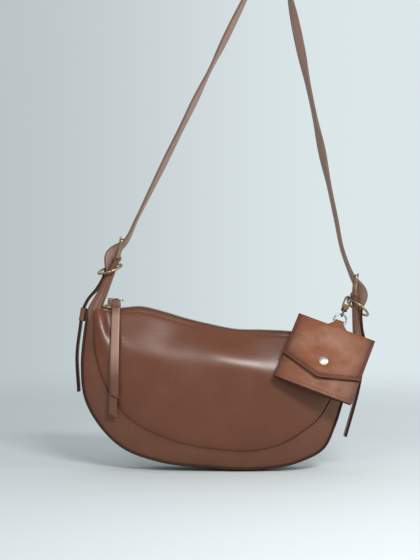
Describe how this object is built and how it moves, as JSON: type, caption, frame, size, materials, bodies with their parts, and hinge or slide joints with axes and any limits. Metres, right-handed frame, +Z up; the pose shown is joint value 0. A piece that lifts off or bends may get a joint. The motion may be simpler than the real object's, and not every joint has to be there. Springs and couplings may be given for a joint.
{
  "type": "half moon shoulder bag",
  "caption": "Crescent leather shoulder bag with a zip top, buckled strap, keeper rings and a clip-on card pouch, hanging by its strap.",
  "frame": {"origin": "the point where the strap hangs, on the underside of its crown, midway across its width", "axes": "+Z up, +X to the right as seen from the front, -Y towards the front of the bag"},
  "size_m": [0.3692, 0.1013, 0.645],
  "materials": {
    "bag_leather": "smooth satin",
    "band_leather": "smooth satin",
    "strap_leather": "layered, painted edge",
    "lining_cloth": "woven",
    "zip_tape": "woven",
    "zip_metal": "polished pale gold",
    "gold_metal": "polished pale gold",
    "nickel": "polished",
    "pouch_leather": "glossy, dark edge"
  },
  "bodies": {
    "bag": {"front_upper_panel": "bag_leather", "front_crescent_band": "band_leather", "back_upper_panel": "bag_leather", "back_crescent_band": "band_leather", "gusset": "bag_leather", "front_piping": "band_leather", "back_piping": "band_leather", "lining": "lining_cloth", "zip_tape_front": "zip_tape", "zip_tape_back": "zip_tape", "zip_teeth_front": "zip_metal", "zip_teeth_back": "zip_metal", "zip_stops": "zip_metal", "shoulder_strap": "strap_leather", "left_tab": "bag_leather", "right_tab": "bag_leather", "left_buckle_frame": "gold_metal", "right_buckle_frame": "gold_metal", "left_buckle_prong": "gold_metal", "right_buckle_prong": "gold_metal", "left_leather_keeper": "bag_leather", "right_leather_keeper": "bag_leather"},
    "slider": {"zip_slider": "zip_metal"},
    "zip_pull": {"pull_ring": "zip_metal", "pull_thong": "bag_leather", "pull_collar": "bag_leather"},
    "left_ring": {"left_keeper_ring": "gold_metal"},
    "right_ring": {"right_keeper_ring": "gold_metal"},
    "clasp": {"clasp_hook": "gold_metal", "clasp_gate_pin": "gold_metal"},
    "gate": {"clasp_gate": "gold_metal"},
    "swivel": {"clasp_swivel_eye": "gold_metal", "pouch_d_ring": "nickel"},
    "pouch": {"pouch_tab": "pouch_leather", "pouch_back_panel": "pouch_leather", "pouch_welt": "pouch_leather", "pouch_front_pocket": "pouch_leather", "snap_stud": "nickel"},
    "flap": {"pouch_flap": "pouch_leather", "snap_cap": "nickel", "snap_socket": "nickel"}
  },
  "joints": [
    {"name": "zip_slide", "type": "slide", "parent": "bag", "child": "slider", "axis": [0.991, 0, -0.134], "range_m": [0, 0.288], "deforming": ["zip_teeth_front", "zip_teeth_back"]},
    {"name": "zip_pull_swing", "type": "hinge", "parent": "slider", "child": "zip_pull", "pos_m": [-0.20475, 0, -0.43287], "axis": [0, -1, 0], "range_deg": [-12, 20]},
    {"name": "left_keeper_slide", "type": "slide", "parent": "bag", "child": "left_ring", "axis": [0.4003, 0, 0.9164], "range_m": [0, 0.003]},
    {"name": "right_keeper_slide", "type": "slide", "parent": "bag", "child": "right_ring", "axis": [-0.061, 0, 0.9981], "range_m": [0, 0.0015]},
    {"name": "clasp_swing", "type": "hinge", "parent": "right_ring", "child": "clasp", "pos_m": [0.09194, 0, -0.43229], "axis": [0, -0.9063, 0.4226], "range_deg": [-12, 15]},
    {"name": "clasp_gate_open", "type": "hinge", "parent": "clasp", "child": "gate", "pos_m": [0.08505, -0.003, -0.43871], "axis": [0, 0.9063, -0.4226], "range_deg": [0, 22], "stiffness_Nm_per_rad": 0.004, "springref_deg": -11.46},
    {"name": "clasp_swivel", "type": "hinge", "parent": "clasp", "child": "swivel", "pos_m": [0.08597, -0.00618, -0.44555], "axis": [0.3778, 0.3913, 0.8391], "range_deg": [-6, 6]},
    {"name": "pouch_lift", "type": "hinge", "parent": "swivel", "child": "pouch", "pos_m": [0.07949, -0.01289, -0.45993], "axis": [-0.9259, 0.1597, 0.3424], "range_deg": [0, 40]},
    {"name": "pouch_flap_open", "type": "hinge", "parent": "pouch", "child": "flap", "pos_m": [0.07488, -0.02098, -0.46862], "axis": [-0.9259, 0.1597, 0.3424], "range_deg": [0, 85]}
  ]
}
